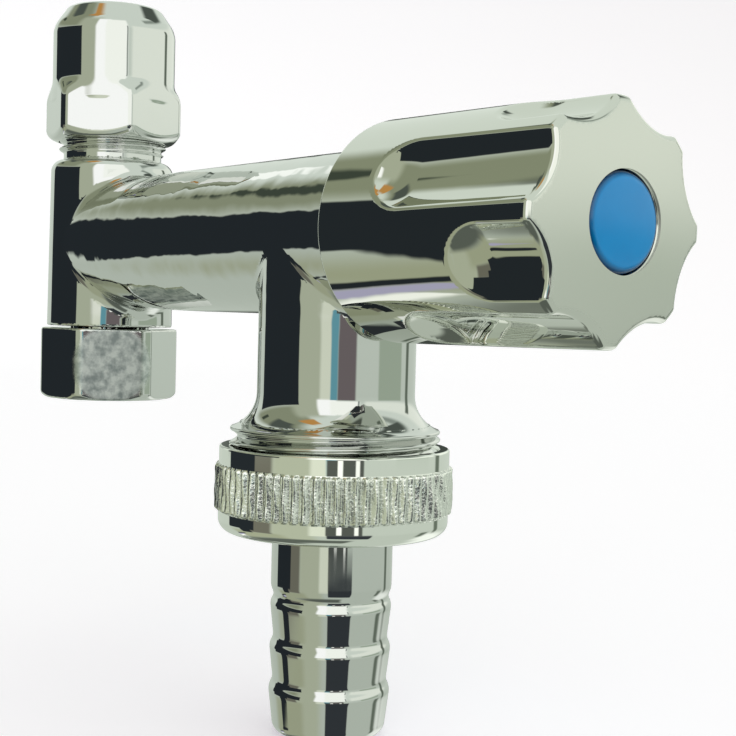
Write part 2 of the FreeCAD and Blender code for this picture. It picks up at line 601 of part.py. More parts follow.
def disc_carrier():
    """Plunger with the disc's flange, a sealed piston and a hexagon that slides in the bonnet."""
    stem, flange = CARRIER_STEM_DIA / 2, DISC_DIA / 2 + CARRIER_FLANGE_RIM
    flange_x = DISC_BACK_X + CARRIER_FLANGE_THICK
    solid = turned([
        (0, DISC_BACK_X), (flange, DISC_BACK_X), (flange, flange_x), (stem, flange_x),
        (stem, PISTON_X), (PISTON_R, PISTON_X), (PISTON_R, CARRIER_HEX_X), (0, CARRIER_HEX_X),
    ])
    flats = BROACH_FLATS - 2 * SLIDE_PLAY
    solid = solid.fuse(prism(flats, CARRIER_HEX_X, CARRIER_END_X)).removeSplitter()
    middle = carrier_ring_x()
    low, high = middle - CARRIER_RING_GROOVE / 2, middle + CARRIER_RING_GROOVE / 2
    floor = 2 * (PISTON_R - CARRIER_RING_WIRE)
    solid = solid.cut(tube(GLAND_DIA + 1, floor, low, high))
    tapped = SPINDLE_THREAD_DIA + 2 * THREAD_PLAY
    solid = solid.cut(drilled(tapped, CARRIER_END_X - CARRIER_NUT_DEPTH, CARRIER_END_X))
    screw = DISC_SCREW_DIA + 2 * SCREW_PLAY
    solid = solid.cut(drilled(screw, DISC_BACK_X, DISC_BACK_X + DISC_SCREW_GRIP + SCREW_PLAY))
    return put(solid, 0, RUN_Z, ALONG)


def carrier_o_ring():
    """Ring that keeps water out of the spindle's thread."""
    inner = PISTON_R - CARRIER_RING_WIRE
    return put(o_ring(inner, CARRIER_RING_WIRE, carrier_ring_x()), 0, RUN_Z, ALONG)


def seat_disc():
    """Rubber disc that closes on the seat."""
    hole = DISC_SCREW_DIA + 2 * SCREW_PLAY
    return put(tube(DISC_DIA, hole, SEAT_X, DISC_BACK_X), 0, RUN_Z, ALONG)


def disc_screw():
    """Screw that holds the disc on its carrier."""
    head, shank = DISC_SCREW_HEAD_DIA / 2, DISC_SCREW_DIA / 2
    low = SEAT_X - DISC_SCREW_HEAD
    solid = turned([
        (0, low), (head - DISC_SCREW_HEAD / 3, low), (head, low + DISC_SCREW_HEAD / 3), (head, SEAT_X),
        (shank, SEAT_X), (shank, DISC_BACK_X + DISC_SCREW_GRIP), (0, DISC_BACK_X + DISC_SCREW_GRIP),
    ])
    slot = Part.makeBox(head * 4, head / 4, DISC_SCREW_HEAD / 2)
    slot.translate(FreeCAD.Vector(-head * 2, -head / 8, low))
    return put(solid.cut(slot), 0, RUN_Z, ALONG)


def flute(length, angle):
    """Ball-nosed cutter for one flute of the handle, with a bevel where it meets the face."""
    axis_r = FLUTE_FLOOR_DIA / 2 + FLUTE_RADIUS
    skin = (HANDLE_RIM_DIA + HANDLE_FACE_DIA) / 4
    nose = FACE_X - length + math.sqrt(FLUTE_RADIUS ** 2 - (axis_r - skin) ** 2)
    bevel_x = FACE_X - FACE_BEVEL
    past = FACE_X + 2 * HANDLE_DOME
    wide = FLUTE_RADIUS + past - bevel_x
    ball = FreeCAD.Vector(FLUTE_RADIUS * math.sqrt(0.5), 0, nose - FLUTE_RADIUS * math.sqrt(0.5))
    tip, end = FreeCAD.Vector(0, 0, nose - FLUTE_RADIUS), FreeCAD.Vector(FLUTE_RADIUS, 0, nose)
    sides = Part.makePolygon([
        end, FreeCAD.Vector(FLUTE_RADIUS, 0, bevel_x), FreeCAD.Vector(wide, 0, past),
        FreeCAD.Vector(0, 0, past), tip,
    ])
    outline = Part.Wire([Part.Arc(tip, ball, end).toShape()] + sides.Edges)
    cutter = Part.Face(outline).revolve(FreeCAD.Vector(), UP, 360)
    cutter.translate(FreeCAD.Vector(axis_r, 0, 0))
    cutter.rotate(FreeCAD.Vector(), UP, angle)
    return cutter


def handle_shell():
    """Outside of the knob: slight taper, domed face and alternate long and short flutes."""
    rim, face = HANDLE_RIM_DIA / 2, HANDLE_FACE_DIA / 2
    crown = (face ** 2 + HANDLE_DOME ** 2) / (2 * HANDLE_DOME)
    top = FACE_X + HANDLE_DOME
    half = math.asin(face / crown) / 2
    edge = FreeCAD.Vector(face, 0, FACE_X)
    rise = FreeCAD.Vector(crown * math.sin(half), 0, top - crown * (1 - math.cos(half)))
    middle = FreeCAD.Vector(0, 0, top)
    dome = Part.Arc(edge, rise, middle).toShape()
    back, corner = FreeCAD.Vector(0, 0, HANDLE_X), FreeCAD.Vector(rim, 0, HANDLE_X)
    sides = Part.makePolygon([middle, back, corner, edge])
    knob = Part.Face(Part.Wire([dome] + sides.Edges)).revolve(FreeCAD.Vector(), UP, 360)
    knob = knob.makeFillet(HANDLE_RIM_ROUND, rings(knob, rim, HANDLE_X))
    knob = knob.makeFillet(FACE_EDGE_ROUND, rings(knob, face, FACE_X))
    for number in range(FLUTES):
        length = FLUTE_SHORT if number % 2 else FLUTE_LONG
        angle = 180 - FLUTE_TURN - number * 360 / FLUTES
        knob = knob.cut(flute(length, angle))
    return knob


def handle():
    """Hollow knob with a square-holed hub and a recess for the cap."""
    inner = FLUTE_FLOOR_DIA - 2 * HANDLE_WALL
    deep = FACE_X - HANDLE_FACE_THICK
    step = BONNET_HEX_X + HANDLE_ROOM
    knob = handle_shell()
    knob = knob.cut(drilled(RUN_DIA + 2 * HANDLE_ROOM, HANDLE_X, step))
    knob = knob.cut(drilled(inner, step, HUB_X))
    knob = knob.cut(tube(inner, HUB_DIA, HUB_X, deep))
    square = SPINDLE_SQUARE + 2 * SQUARE_PLAY
    knob = knob.cut(prism(square, HUB_X, SPINDLE_END_X + SQUARE_PLAY, sides=4))
    knob = knob.cut(drilled(HANDLE_SCREW_DIA + 4 * SCREW_PLAY, HUB_X, FACE_X))
    recess = CAP_DIA + 2 * CAP_PLAY
    knob = knob.cut(drilled(recess, CAP_FLOOR_X, FACE_X + 2 * HANDLE_DOME))
    return put(knob, 0, RUN_Z, ALONG)


def handle_screw():
    """Screw that holds the handle on the spindle, under the cap."""
    head, shank = HANDLE_SCREW_HEAD_DIA / 2, HANDLE_SCREW_DIA / 2
    top = CAP_FLOOR_X + HANDLE_SCREW_HEAD
    solid = turned([
        (0, CAP_FLOOR_X - HANDLE_SCREW_LEN), (shank, CAP_FLOOR_X - HANDLE_SCREW_LEN),
        (shank, CAP_FLOOR_X), (head, CAP_FLOOR_X), (head, top - HANDLE_SCREW_HEAD / 3),
        (head - HANDLE_SCREW_HEAD / 3, top), (0, top),
    ])
    slot = Part.makeBox(head * 4, head / 4, HANDLE_SCREW_HEAD / 2)
    slot.translate(FreeCAD.Vector(-head * 2, -head / 8, top - HANDLE_SCREW_HEAD / 2))
    return put(solid.cut(slot), 0, RUN_Z, ALONG)


def index_cap():
    """Round push-in cap with a shallow dome and a skirt."""
    r = CAP_DIA / 2
    crown_r = (HANDLE_FACE_DIA ** 2 / 4 + HANDLE_DOME ** 2) / (2 * HANDLE_DOME)
    edge_x = FACE_X + HANDLE_DOME - crown_r + math.sqrt(crown_r ** 2 - r ** 2) - CAP_SINK
    cap_r = (r ** 2 + CAP_DOME ** 2) / (2 * CAP_DOME)
    low = CAP_FLOOR_X
    cap = turned([(0, low), (r, low), (r, edge_x + CAP_DOME), (0, edge_x + CAP_DOME)])
    cap = cap.common(Part.makeSphere(cap_r, FreeCAD.Vector(0, 0, edge_x + CAP_DOME - cap_r)))
    cap = cap.makeFillet(CAP_EDGE, rings(cap, r, edge_x))
    hollow = drilled(CAP_DIA - 2 * CAP_SKIRT_WALL, low, edge_x - CAP_SKIRT)
    return put(cap.cut(hollow), 0, RUN_Z, ALONG)


PIECES = {
    "valve_body": valve_body(),
    "inlet_union_nut": inlet_union_nut(),
    "inlet_snap_ring": inlet_snap_ring(),
    "inlet_gasket": inlet_gasket(),
    "compression_nut": compression_nut(),
    "compression_olive": compression_olive(),
    "outlet_union_nut": outlet_union_nut(),
    "hose_tail": hose_tail(),
    "hose_tail_gasket": hose_tail_gasket(),
    "headwork_bonnet": headwork_bonnet(),
    "bonnet_gasket": bonnet_gasket(),
    "spindle": spindle(),
    "spindle_o_ring_inner": spindle_o_ring(0),
    "spindle_o_ring_outer": spindle_o_ring(1),
    "spindle_circlip": spindle_circlip(),
    "disc_carrier": disc_carrier(),
    "carrier_o_ring": carrier_o_ring(),
    "seat_disc": seat_disc(),
    "disc_screw": disc_screw(),
    "handle": handle(),
    "handle_screw": handle_screw(),
    "index_cap": index_cap(),
}

for name, piece in PIECES.items():
    piece.exportStep("parts/" + name + ".step")
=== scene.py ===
import json
import math

import bmesh
import bpy
import numpy as np
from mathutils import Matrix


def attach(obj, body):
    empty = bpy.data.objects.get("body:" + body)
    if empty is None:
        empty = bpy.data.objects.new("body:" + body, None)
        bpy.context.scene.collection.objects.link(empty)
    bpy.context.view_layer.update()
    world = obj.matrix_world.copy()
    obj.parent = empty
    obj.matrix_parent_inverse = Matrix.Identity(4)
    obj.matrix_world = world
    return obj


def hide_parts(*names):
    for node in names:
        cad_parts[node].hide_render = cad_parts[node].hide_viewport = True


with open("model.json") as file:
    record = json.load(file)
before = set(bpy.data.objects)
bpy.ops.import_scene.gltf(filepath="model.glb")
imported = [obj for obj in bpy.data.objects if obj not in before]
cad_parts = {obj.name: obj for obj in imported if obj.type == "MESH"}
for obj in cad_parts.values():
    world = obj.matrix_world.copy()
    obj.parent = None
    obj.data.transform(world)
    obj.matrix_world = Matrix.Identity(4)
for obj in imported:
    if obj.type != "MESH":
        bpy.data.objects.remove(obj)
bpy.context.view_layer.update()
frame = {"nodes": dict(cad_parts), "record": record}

import openvdb
from mathutils import Matrix, Vector

# Sizes in millimetres, as in the solids. The origin is the inlet's sealing face on the tee's
# axis, +X runs along the valve to the handle and +Z is up. Heights in a row go upward.
MM = 0.001

# Body
RUN_Z = 18.3
RUN_RADIUS = 10.1
RUN_END = 77.25
RUN_SWELL = 30.0
RUN_SAG = 0.85
OUTLET_X = 60.25
NECK_RADIUS = 9.9
FLARE_CURVE = 4.575
FLARE_TOP = -1.5
FLARE_DROP = 4.4
SHOULDER_TOP = -2.6
BARREL = (5.4, 31.3)
BARREL_RADII = (9.75, 9.45)
INLET_SPIGOT = 6.0
INLET_SPIGOT_ENDS = (1.5, 5.5)
TOP_SPIGOT = 7.5
TOP_SPIGOT_ENDS = (30.8, 41.8)
OUTLET_SPIGOT = 12.0
OUTLET_SPIGOT_ENDS = (-13.2, -5.2)
TEE_BORE = 4.2
PIPE_SOCKET = 5.1
PIPE_SOCKET_FLOOR = 30.3
OLIVE_SEAT = 6.6
OLIVE_SEAT_TAPER = 0.6
RUN_BORE = 4.5
CHAMBER = 7.5
CHAMBER_X = 50.0
BONNET_BORE = 8.4
BONNET_X = 67.25
OUTLET_BORE = 6.3
THREAD_38 = 8.33
PITCH_38 = 1.337
THREAD_34 = 13.22
PITCH_34 = 1.814

# Nuts; a facing is the angle of one flat, in degrees from +X towards +Y
NUT_FLATS = 19.0
NUT_CORNER = NUT_FLATS / math.sqrt(3)
NUT_BORE = 8.4
INLET_NUT = (-5.9, 5.1)
INLET_FACING = -25.2
INLET_HOLE = 6.3
COMPRESSION_NUT = (34.1, 43.1, 51.9, 55.2)
COMPRESSION_FACING = 17.7
PIPE_HOLE = 5.15
OUTLET_NUT = (-18.8, -8.1)
OUTLET_NUT_BORE = 13.29
OUTLET_NUT_HOLE = 7.93
OUTLET_NUT_FLOOR = -17.0
BAND_RADIUS = 14.42
KNURL = (-16.05, -10.4)
KNURL_RIBS = 75

# Hose tail
TAIL_BORE = 5.5
TAIL_COLLAR = 11.92
TAIL_COLLAR_TOP = -15.2
TAIL_NECK = 7.3
TAIL_SHANK = 7.6
TAIL_SHANK_ENDS = (-25.8, -18.95)
TAIL_LAND = 7.15
TAIL_END = -44.15
TAIL_END_ROUND = 1.4
BARBS = 3
BARB_RADIUS = 7.65
BARB_RISE = 1.0
BARB_PITCH = 5.35

# Handle and cap, with heights along the run
HANDLE = (73.15, 105.9)
HANDLE_RADII = (13.1, 12.75)
FACE_RISE = 1.25
FLUTES = 8
FLUTE_RADIUS = 7.0
FLUTE_FLOOR = 10.95
FLUTE_RIM = 12.93
FLUTE_LENGTHS = (24.0, 11.7)
FLUTE_TURN = 24.6
CAP_RADIUS = 5.2
CAP_RISE = 0.35
CAP_SINK = 0.1
CAP_EDGE = 1.1
CAP_HOLE = 5.28
CAP_SEAT = 103.25

# Fineness of the meshes: points round a piece, rays over an end, and the steps of the search
HEXAGON_POINTS = 400
RIB_POINTS = 10
ROUND_POINTS = 208
HANDLE_POINTS = 520
CAP_POINTS = 160
END_RAYS = 34
HOLE_RAYS = 6
RAY_REACH = 30.0
HALVINGS = 32
SLOPE_STEP = 0.01
BODY_CELL = 0.42
BODY_BOX = ((-11.0, -14.5, -14.5), (79.0, 14.5, 43.0))
WELD_GAP = 0.0001


# Mesh tools

def rounded(faces, radius):
    """Shape inside all of several faces, with its outer edges rounded. Each face is a distance that
    is negative inside."""
    shape = faces[0]
    for face in faces[1:]:
        over = np.hypot(np.maximum(shape + radius, 0), np.maximum(face + radius, 0))
        shape = np.minimum(-radius, np.maximum(shape, face)) + over
    return shape


def joined(one, two, radius):
    """Shape inside either of two, with the inner corner between them filled to a radius."""
    under = np.hypot(np.minimum(one - radius, 0), np.minimum(two - radius, 0))
    return np.maximum(radius, np.minimum(one, two)) - under


def slope(r, z, start, end):
    """Distance outside the cone through two (radius, height) points, the outside on the right
    going up."""
    dr, dz = end[0] - start[0], end[1] - start[1]
    return ((r - start[0]) * dz - (z - start[1]) * dr) / math.hypot(dr, dz)


def crown(reach, rise):
    """Radius of a curve that rises by a height over half its chord."""
    return (reach ** 2 + rise ** 2) / (2 * rise)


def angles(count):
    """Even angles once round the axis."""
    return np.arange(count) * 2 * math.pi / count


def rings(radius, turn, height):
    """Rings of points from radii, angles and heights."""
    radius, turn, height = np.broadcast_arrays(radius, turn, height)
    return np.stack([radius * np.cos(turn), radius * np.sin(turn), height], axis=-1)


def plain_rings(outline, count):
    """Round rings at each (radius, height) of an outline."""
    points = np.array(outline, float)
    return rings(points[:, 0, None], angles(count), points[:, 1, None])


def fan(cores, low, high, holes, step):
    """Rays (radius, height, and the direction of both) from inside a turned piece over its lower end,
    up its side and over its top. The rays start at the core radii, one for each end, and the holes
    are the smaller radii where the two ends stop."""
    quarter = np.linspace(0, math.pi / 2, END_RAYS)
    rays = [(r, low, 0, -1) for r in np.linspace(holes[0], cores[0], HOLE_RAYS)[:-1]]
    rays += [(cores[0], low, math.cos(a), math.sin(a)) for a in quarter - math.pi / 2]
    count = int((high - low) / step) + 2
    starts = zip(np.linspace(*cores, count), np.linspace(low, high, count))
    rays += [(r, z, 1, 0) for r, z in starts][1:-1]
    rays += [(cores[1], high, math.cos(a), math.sin(a)) for a in quarter]
    rays += [(r, high, 0, 1) for r in np.linspace(cores[1], holes[1], HOLE_RAYS)[1:]]
    return np.array(rays)


def skin(rays, count, shape):
    """Rings of points where rays, repeated all round the axis, leave a shape, and the way that the
    shape faces there."""
    turn = angles(count)
    r, z, out, up = (rays[:, i, None] for i in range(4))
    near = np.zeros((len(rays), count))
    far = np.full((len(rays), count), RAY_REACH)
    for _ in range(HALVINGS):
        middle = (near + far) / 2
        inside = shape(r + middle * out, turn, z + middle * up) < 0
        near = np.where(inside, middle, near)
        far = np.where(inside, far, middle)
    radius = r + near * out
    height = z + near * up
    step = SLOPE_STEP
    side = step / radius
    outward = shape(radius + step, turn, height) - shape(radius - step, turn, height)
    sideways = shape(radius, turn + side, height) - shape(radius, turn - side, height)
    upward = shape(radius, turn, height + step) - shape(radius, turn, height - step)
    facing = rings(outward, turn, upward) + rings(sideways, turn + math.pi / 2, 0.0)
    return rings(radius, turn, height), facing / np.linalg.norm(facing, axis=-1, keepdims=True)


def softened(outline, radius, steps=6):
    """Outline of (radius, height) points with each corner turned into a small arc of points, which
    takes at most 0.45 of the shorter side."""
    points = [Vector(p) for p in outline]
    soft = [points[0]]
    for before, corner, after in zip(points, points[1:], points[2:]):
        room = min((corner - before).length, (after - corner).length) * 0.45
        start = corner + (before - corner).normalized() * min(radius, room)
        end = corner + (after - corner).normalized() * min(radius, room)
        for step in range(steps + 1):
            share = step / steps
            soft.append(start.lerp(corner, share).lerp(corner.lerp(end, share), share))
    return [tuple(p) for p in soft + points[-1:]]


def closer(outline, gap):
    """Outline with more points on its long stretches."""
    rows = []
    for start, stop in zip(outline, outline[1:]):
        parts = max(1, int(math.dist(start, stop) / gap))
        rows += [tuple(np.array(start) + (np.array(stop) - start) * i / parts) for i in range(parts)]
    return rows + [outline[-1]]


def along_x(points):
    """Turn points made on the Z axis onto the valve's run, angles counted from +Z towards +Y."""
    return np.stack([points[..., 2], points[..., 1], points[..., 0] + RUN_Z], axis=-1)


def at_outlet(points):
    """Move points made on the Z axis to the outlet."""
    return points + np.array([OUTLET_X, 0.0, 0.0])


def show(name, points, faces, body, material, node, facing=None):
    """Add a smooth mesh that rides a body and, where a node is given, stands for it. The points can
    be told the way they face, so that their gloss runs true between them."""
    mesh = bpy.data.meshes.new(name)
    mesh.from_pydata((points * MM).tolist(), [], faces.tolist())
    mesh.shade_smooth()
    if facing is not None:
        mesh.normals_split_custom_set_from_vertices(facing.tolist())
    mesh.materials.append(material)
    made = bpy.data.objects.new(name, mesh)
    bpy.context.scene.collection.objects.link(made)
    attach(made, body)
    if node:
        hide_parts(node)
    return made


def piece(name, points, body, material, node, closed=True, inward=False, facing=None):
    """Skin a grid of rings as one piece, closed from its last ring to its first unless told otherwise.
    The way that the first rings face can be told."""
    rows, count = points.shape[:2]
    index = np.arange(rows * count).reshape(rows, count)
    low = index if closed else index[:-1]
    high = np.roll(index, -1, axis=0) if closed else index[1:]
    corners = [low, np.roll(low, -1, axis=1), np.roll(high, -1, axis=1), high]
    quads = np.stack(corners, axis=-1).reshape(-1, 4)
    if inward:
        quads = quads[:, ::-1]
    told = None
    if facing is not None:
        told = np.zeros_like(points)
        told[:len(facing)] = facing
        told = told.reshape(-1, 3)
    return show(name, points.reshape(-1, 3), quads, body, material, node, told)


def weld(mesh):
    """Join the points of a ring that has no width into one point on the axis."""
    work = bmesh.new()
    work.from_mesh(mesh)
    bmesh.ops.remove_doubles(work, verts=work.verts, dist=WELD_GAP * MM)
    work.to_mesh(mesh)
    work.free()


# Material tools

def linear(code):
    """sRGB hex value as the linear colour that a shader takes."""
    parts = [int(code[i:i + 2], 16) / 255 for i in (1, 3, 5)]
    return [c / 12.92 if c <= 0.04045 else ((c + 0.055) / 1.055) ** 2.4 for c in parts] + [1.0]


# Sockets of a mix node that share a name: its two values, its two colours and the colour that it gives
VALUE_A, VALUE_B = 2, 3
COLOUR_A, COLOUR_B = 6, 7
COLOUR_OUT = 2


def add(tree, kind, inputs, shades=(), **settings):
    """Add a node with its settings; each input is a value or another node's output. A colour ramp's
    shades are its two ends, each a position and an sRGB hex value."""
    node = tree.nodes.new(kind)
    for name, value in settings.items():
        setattr(node, name, value)
    for name, value in inputs.items():
        if isinstance(value, bpy.types.NodeSocket):
            tree.links.new(value, node.inputs[name])
        else:
            node.inputs[name].default_value = value
    for i, (position, code) in enumerate(shades):
        node.color_ramp.elements[i].position = position
        node.color_ramp.elements[i].color = linear(code)
    return node


def surface(name):
    """New material with its node tree, principled shader and object coordinates."""
    material = bpy.data.materials.new(name)
    material.use_nodes = True
    tree = material.node_tree
    shader = tree.nodes["Principled BSDF"]
    place = add(tree, "ShaderNodeTexCoord", {}).outputs["Object"]
    return material, tree, shader, place


def bumped(tree, shader, *layers):
    """Lay relief on a surface: each layer is a height from 0 to 1 and the depth that it stands for in
    millimetres."""
    normal = None
    for height, depth in layers:
        inputs = {"Height": height, "Strength": 1.0, "Distance": depth * MM}
        if normal:
            inputs["Normal"] = normal
        normal = add(tree, "ShaderNodeBump", inputs).outputs["Normal"]
    tree.links.new(normal, shader.inputs["Normal"])


# Finishes; the sizes of their patterns are in millimetres

CHROME_SHADE = "#d9dbd8"


def chrome(name, shade=CHROME_SHADE, roughness=0.02):
    """Bright chrome plate: a metal with hardly any colour of its own that mirrors the room."""
    material, tree, shader, place = surface(name)
    shader.inputs["Base Color"].default_value = linear(shade)
    shader.inputs["Metallic"].default_value = 1.0
    shader.inputs["Roughness"].default_value = roughness
    return material, tree, shader, place


def polished_cast_chrome():
    """Chrome plate on cast brass polished by hand: a clear mirror whose edges waver where the wheel
    dug in, most of all along the run."""
    dab_width, hollow_width = 4.5, 9
    dab_depth, hollow_depth = 0.10, 0.08
    run_starts, run_foot = (4, 12), (5, 10)
    material, tree, shader, place = chrome("polished_cast_chrome", roughness=0.008)
    axes = add(tree, "ShaderNodeSeparateXYZ", {"Vector": place})
    along = add(tree, "ShaderNodeMapRange", {
        "Value": axes.outputs["X"], "From Min": run_starts[0] * MM, "From Max": run_starts[1] * MM,
    })
    above = add(tree, "ShaderNodeMapRange", {
        "Value": axes.outputs["Z"], "From Min": run_foot[0] * MM, "From Max": run_foot[1] * MM,
    })
    on_run = add(tree, "ShaderNodeMath", {
        0: along.outputs["Result"], 1: above.outputs["Result"],
    }, operation="MULTIPLY")
    dabs = add(tree, "ShaderNodeTexNoise", {
        "Vector": place, "Scale": 1 / (dab_width * MM), "Detail": 1.5,
    })
    worn = add(tree, "ShaderNodeMath", {
        0: dabs.outputs["Fac"], 1: on_run.outputs[0],
    }, operation="MULTIPLY")
    hollows = add(tree, "ShaderNodeTexNoise", {
        "Vector": place, "Scale": 1 / (hollow_width * MM), "Detail": 1.0,
    })
    bumped(tree, shader, (worn.outputs[0], dab_depth), (hollows.outputs["Fac"], hollow_depth))
    return material


def die_cast_chrome():
    """Chrome plate on a die-cast knob: mirror sides, and a face left satin by its fine blasted
    grain."""
    hollow_width, hollow_depth = 6, 0.02
    mirror, satin = 0.01, 0.34
    face_starts, face_full = 0.90, 0.985
    material, tree, shader, place = chrome("die_cast_chrome", "#dbddd6")
    facing = add(tree, "ShaderNodeTexCoord", {}).outputs["Normal"]
    toward = add(tree, "ShaderNodeSeparateXYZ", {"Vector": facing})
    rough = add(tree, "ShaderNodeMapRange", {
        "Value": toward.outputs["X"],
        "From Min": face_starts, "From Max": face_full, "To Min": mirror, "To Max": satin,
    }, interpolation_type="SMOOTHSTEP")
    tree.links.new(rough.outputs["Result"], shader.inputs["Roughness"])
    hollows = add(tree, "ShaderNodeTexNoise", {
        "Vector": place, "Scale": 1 / (hollow_width * MM), "Detail": 1.0,
    })
    bumped(tree, shader, (hollows.outputs["Fac"], hollow_depth))
    return material


def turned_chrome():
    """Chrome plate on turned bar: a bright mirror with hardly a waver in it."""
    hollow_width, hollow_depth = 5, 0.015
    material, tree, shader, place = chrome("turned_chrome", roughness=0.035)
    hollows = add(tree, "ShaderNodeTexNoise", {
        "Vector": place, "Scale": 1 / (hollow_width * MM), "Detail": 1.0,
    })
    bumped(tree, shader, (hollows.outputs["Fac"], hollow_depth))
    return material


def tumbled_chrome():
    """Chrome plate on a tumbled nut: bright flats and worn corners, with one flat left cloudy by a
    frosted bloom."""
    speck_width, bloom_depth = 1.5, 0.02
    bloom_starts, bloom_ends = 5.2, 6.6
    bright, frosted, dullest = 0.03, 0.32, 0.5
    material, tree, shader, place = chrome("tumbled_chrome", roughness=bright)
    bloom = add(tree, "ShaderNodeTexNoise", {
        "Vector": place, "Scale": 1 / (speck_width * MM), "Detail": 3.0, "Roughness": 0.6,
    })
    facing = math.radians(INLET_FACING)
    middle = Vector((math.cos(facing), math.sin(facing), 0.0)) * NUT_FLATS / 2
    middle.z = sum(INLET_NUT) / 2
    away = add(tree, "ShaderNodeVectorMath", {0: place, 1: middle * MM}, operation="DISTANCE")
    patch = add(tree, "ShaderNodeMapRange", {
        "Value": away.outputs["Value"],
        "From Min": bloom_starts * MM, "From Max": bloom_ends * MM, "To Min": 1.0, "To Max": 0.0,
    }, interpolation_type="SMOOTHSTEP").outputs["Result"]
    frost = add(tree, "ShaderNodeMapRange", {
        "Value": bloom.outputs["Fac"],
        "From Min": 0.3, "From Max": 0.7, "To Min": frosted, "To Max": dullest,
    })
    rough = add(tree, "ShaderNodeMix", {
        0: patch, VALUE_A: bright, VALUE_B: frost.outputs["Result"],
    })
    tree.links.new(rough.outputs[0], shader.inputs["Roughness"])
    tone = add(tree, "ShaderNodeValToRGB", {
        "Fac": bloom.outputs["Fac"],
    }, shades=((0.36, "#a3acac"), (0.64, "#e4e8e6")))
    shade = add(tree, "ShaderNodeMix", {
        0: patch, COLOUR_A: linear(CHROME_SHADE), COLOUR_B: tone.outputs["Color"],
    }, data_type="RGBA")
    tree.links.new(shade.outputs[COLOUR_OUT], shader.inputs["Base Color"])
    cloud = add(tree, "ShaderNodeMath", {0: bloom.outputs["Fac"], 1: patch}, operation="MULTIPLY")
    bumped(tree, shader, (cloud.outputs[0], bloom_depth))
    return material


def knurled_chrome():
    """Chrome plate on a knurled ring: mirror bands, and ribs whose torn crests glitter."""
    grain_width, torn_depth, edge = 0.35, 0.07, 0.1
    mirror, torn_crest = 0.03, 0.16
    middle, half = (KNURL[0] + KNURL[1]) / 2, (KNURL[1] - KNURL[0]) / 2
    material, tree, shader, place = chrome("knurled_chrome", "#f0f2ec")
    height = add(tree, "ShaderNodeSeparateXYZ", {"Vector": place}).outputs["Z"]
    off = add(tree, "ShaderNodeMath", {0: height, 1: middle * MM}, operation="SUBTRACT")
    far = add(tree, "ShaderNodeMath", {0: off.outputs[0]}, operation="ABSOLUTE")
    ribbed = add(tree, "ShaderNodeMapRange", {
        "Value": far.outputs[0],
        "From Min": (half - edge) * MM, "From Max": (half + edge) * MM, "To Min": 1.0, "To Max": 0.0,
    }).outputs["Result"]
    grain = add(tree, "ShaderNodeTexNoise", {
        "Vector": place, "Scale": 1 / (grain_width * MM), "Detail": 3.0,
    })
    torn = add(tree, "ShaderNodeMath", {0: grain.outputs["Fac"], 1: ribbed}, operation="MULTIPLY")
    rough = add(tree, "ShaderNodeMapRange", {"Value": ribbed, "To Min": mirror, "To Max": torn_crest})
    tree.links.new(rough.outputs["Result"], shader.inputs["Roughness"])
    bumped(tree, shader, (torn.outputs[0], torn_depth))
    return material


def moulded_blue():
    """Blue ABS moulded in a polished tool: even colour under a clear gloss, with a painted shade that
    darkens it towards the rim."""
    cloud_width, cloud_depth = 4, 0.01
    # Radii in millimetres over which the painted rim shade grows from none to full
    rim_shade_starts, rim_shade_ends = 4.4, 5.0
    material, tree, shader, place = surface("moulded_blue_abs")
    cloud = add(tree, "ShaderNodeTexNoise", {
        "Vector": place, "Scale": 1 / (cloud_width * MM), "Detail": 2.0,
    })
    tone = add(tree, "ShaderNodeValToRGB", {
        "Fac": cloud.outputs["Fac"],
    }, shades=((0.0, "#008fdd"), (1.0, "#009ceb")))
    across = add(tree, "ShaderNodeVectorMath", {0: place, 1: (0.0, 1.0, 1.0)}, operation="MULTIPLY")
    away = add(tree, "ShaderNodeVectorMath", {
        0: across.outputs["Vector"], 1: (0.0, 0.0, RUN_Z * MM),
    }, operation="DISTANCE")
    # Painted shade: near the rim the blue turns to deep navy, standing in for the shade in the groove
    # round the cap's rounded edge
    edge = add(tree, "ShaderNodeMapRange", {
        "Value": away.outputs["Value"], "From Min": rim_shade_starts * MM, "From Max": rim_shade_ends * MM,
    })
    shade = add(tree, "ShaderNodeMix", {
        0: edge.outputs["Result"], COLOUR_A: tone.outputs["Color"], COLOUR_B: linear("#003d72"),
    }, data_type="RGBA")
    tree.links.new(shade.outputs[COLOUR_OUT], shader.inputs["Base Color"])
    shader.inputs["Roughness"].default_value = 0.16
    shader.inputs["IOR"].default_value = 1.54
    bumped(tree, shader, (cloud.outputs["Fac"], cloud_depth))
    return material


def plain(name, dark, pale, grain, roughness, metallic=0.0, depth=0.01):
    """Finish of a hidden piece: two shades of its material mixed by the grain, which is drawn coarser
    than the real one so that it shows."""
    material, tree, shader, place = surface(name)
    specks = add(tree, "ShaderNodeTexNoise", {
        "Vector": place, "Scale": 1 / (grain * MM), "Detail": 4.0,
    })
    tone = add(tree, "ShaderNodeValToRGB", {
        "Fac": specks.outputs["Fac"],
    }, shades=((0.3, dark), (0.7, pale)))
    tree.links.new(tone.outputs["Color"], shader.inputs["Base Color"])
    shader.inputs["Roughness"].default_value = roughness
    shader.inputs["Metallic"].default_value = metallic
    bumped(tree, shader, (specks.outputs["Fac"], depth))
    return material


